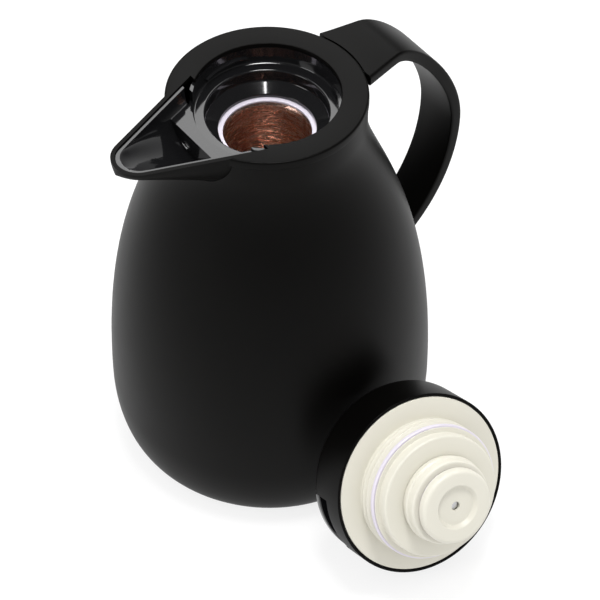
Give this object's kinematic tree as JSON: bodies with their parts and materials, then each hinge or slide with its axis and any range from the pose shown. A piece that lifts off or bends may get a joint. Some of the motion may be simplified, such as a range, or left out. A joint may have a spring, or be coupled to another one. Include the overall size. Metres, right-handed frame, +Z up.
{
  "type": "thermal jug",
  "caption": "Bell-shaped thermal pouring jug with a mirrored glass liner, strap handle and spout, and its press-to-pour stopper lid taken off and leaning on its side.",
  "frame": {"origin": "on the jug's axis, on the surface it stands on", "axes": "+Z up, +X towards the handle, -X towards the spout, the loose lid near -Y"},
  "size_m": [0.1792, 0.2228, 0.2029],
  "materials": {
    "matte_black": "fine satin",
    "gloss_black": "polished",
    "warm_white": "satin",
    "clear_silicone": "translucent",
    "black_rubber": "matte",
    "grey_foam": "open foam",
    "copper_mirrored_glass": "mirrored on the side facing the vacuum",
    "mica": "matte",
    "steel": "drawn"
  },
  "bodies": {
    "jug": {"base_cap": "matte_black", "base_seal": "black_rubber", "body_shell": "matte_black", "funnel_insert": "gloss_black", "handle": "matte_black", "handle_screw": "steel", "handle_washer": "steel", "liner_inner_flask": "copper_mirrored_glass", "liner_outer_flask": "copper_mirrored_glass", "liner_pad": "black_rubber", "liner_spacer_1": "mica", "liner_spacer_2": "mica", "liner_spacer_3": "mica", "mouth_seal": "clear_silicone", "rim_and_spout": "matte_black", "shoulder_ring": "grey_foam"},
    "lid": {"lid_cap": "matte_black", "lever_pin": "steel", "stopper_body": "warm_white", "stopper_seal": "clear_silicone", "valve_housing": "warm_white", "return_spring": "steel"},
    "lever": {"press_lever": "gloss_black"},
    "valve": {"valve_stem": "steel", "valve_disc": "warm_white", "valve_seal": "clear_silicone"}
  },
  "joints": [
    {"name": "lid_lift", "type": "slide", "parent": "jug", "child": "lid", "axis": [0, 0, 1], "range_m": [0, 0.25]},
    {"name": "lever_press", "type": "hinge", "parent": "lid", "child": "lever", "pos_m": [0.02993, -0.0952, 0.04543], "axis": [-0.2008, 0.439, 0.8758], "range_deg": [0, 5.5], "stiffness_Nm_per_rad": 0.8, "springref_deg": -5.73},
    {"name": "valve_travel", "type": "slide", "parent": "lid", "child": "valve", "axis": [-0.0865, -0.8984, 0.4305], "range_m": [0, 0.0029], "deforming": ["return_spring"]}
  ],
  "couplings": [
    {"joint": "valve_travel", "follows": "lever_press", "m_per_rad": 0.03}
  ]
}
